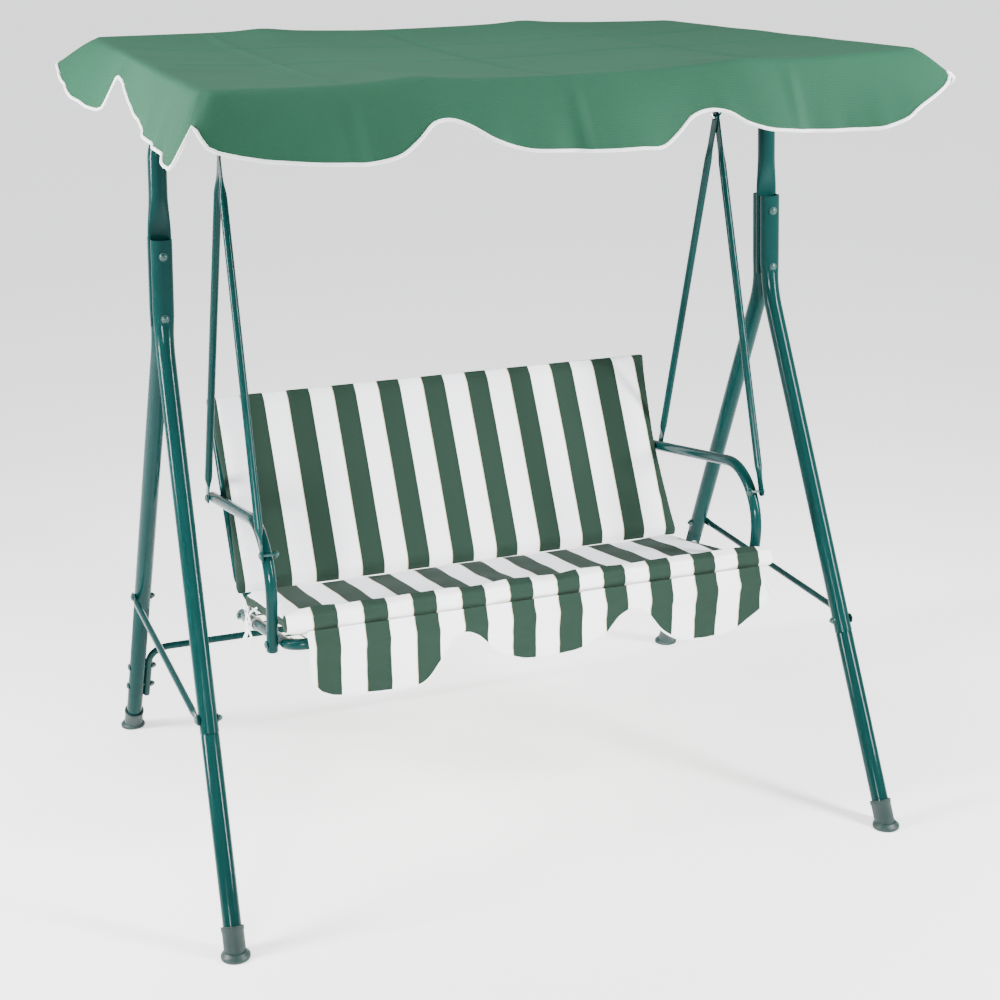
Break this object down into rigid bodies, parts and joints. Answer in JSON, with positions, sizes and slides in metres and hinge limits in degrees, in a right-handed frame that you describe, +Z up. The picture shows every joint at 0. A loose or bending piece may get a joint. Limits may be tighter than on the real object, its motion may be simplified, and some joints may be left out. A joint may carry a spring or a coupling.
{
  "type": "canopy swing bench",
  "caption": "Garden swing bench: tube A-frame with scalloped cloth canopy; a cushioned, striped bench with armrests hangs from the top beam and swings front to back.",
  "frame": {"origin": "on the floor, in the middle between the four feet", "axes": "+Z up, +X along the bench, to the right for someone looking at it from the front, and -Y is the front, where one sits down"},
  "size_m": [1.386, 1.192, 1.522],
  "materials": {
    "enamelled_tube": "gloss dark teal enamel on steel tube",
    "zinc_hardware": "bright zinc plating",
    "foot_cap": "moulded dark green plastic",
    "canopy_cloth": "coated woven polyester, green with white binding",
    "striped_cloth": "woven polyester with green and white stripes"
  },
  "bodies": {
    "frame": {"upper_leg_front_left": "enamelled_tube", "lower_leg_front_left": "enamelled_tube", "foot_cap_front_left": "foot_cap", "strut_bolt_front_left": "zinc_hardware", "upper_leg_front_right": "enamelled_tube", "lower_leg_front_right": "enamelled_tube", "foot_cap_front_right": "foot_cap", "strut_bolt_front_right": "zinc_hardware", "upper_leg_rear_left": "enamelled_tube", "lower_leg_rear_left": "enamelled_tube", "foot_cap_rear_left": "foot_cap", "strut_bolt_rear_left": "zinc_hardware", "upper_leg_rear_right": "enamelled_tube", "lower_leg_rear_right": "enamelled_tube", "foot_cap_rear_right": "foot_cap", "strut_bolt_rear_right": "zinc_hardware", "side_strut_left": "enamelled_tube", "post_bolt_upper_left": "zinc_hardware", "crossbar_bolt_upper_left": "zinc_hardware", "post_bolt_lower_left": "zinc_hardware", "crossbar_bolt_lower_left": "zinc_hardware", "beam_post_left": "enamelled_tube", "hanger_hook_left": "zinc_hardware", "canopy_side_bar_left": "enamelled_tube", "canopy_support_left": "enamelled_tube", "side_strut_right": "enamelled_tube", "post_bolt_upper_right": "zinc_hardware", "crossbar_bolt_upper_right": "zinc_hardware", "post_bolt_lower_right": "zinc_hardware", "crossbar_bolt_lower_right": "zinc_hardware", "beam_post_right": "enamelled_tube", "hanger_hook_right": "zinc_hardware", "canopy_side_bar_right": "enamelled_tube", "canopy_support_right": "enamelled_tube", "rear_crossbar": "enamelled_tube", "beam_sleeve": "enamelled_tube", "canopy_rail_front": "enamelled_tube", "canopy_rail_rear": "enamelled_tube", "canopy_cover": "canopy_cloth"},
    "seat": {"hanger_arm_front_left": "enamelled_tube", "arm_bolt_front_left": "zinc_hardware", "hanger_arm_rear_left": "enamelled_tube", "arm_bolt_rear_left": "zinc_hardware", "armrest_left": "enamelled_tube", "armrest_bolt_left": "zinc_hardware", "seat_bolt_left": "zinc_hardware", "hanger_arm_front_right": "enamelled_tube", "arm_bolt_front_right": "zinc_hardware", "hanger_arm_rear_right": "enamelled_tube", "arm_bolt_rear_right": "zinc_hardware", "armrest_right": "enamelled_tube", "armrest_bolt_right": "zinc_hardware", "seat_bolt_right": "zinc_hardware", "seat_frame": "enamelled_tube", "back_frame": "enamelled_tube", "seat_grid": "enamelled_tube", "back_grid": "enamelled_tube", "seat_cushion": "striped_cloth", "back_cushion": "striped_cloth", "cushion_skirt": "striped_cloth"}
  },
  "joints": [
    {"name": "seat_swing", "type": "hinge", "parent": "frame", "child": "seat", "pos_m": [0, 0, 1.362], "axis": [1, 0, 0], "range_deg": [-20, 20]}
  ]
}
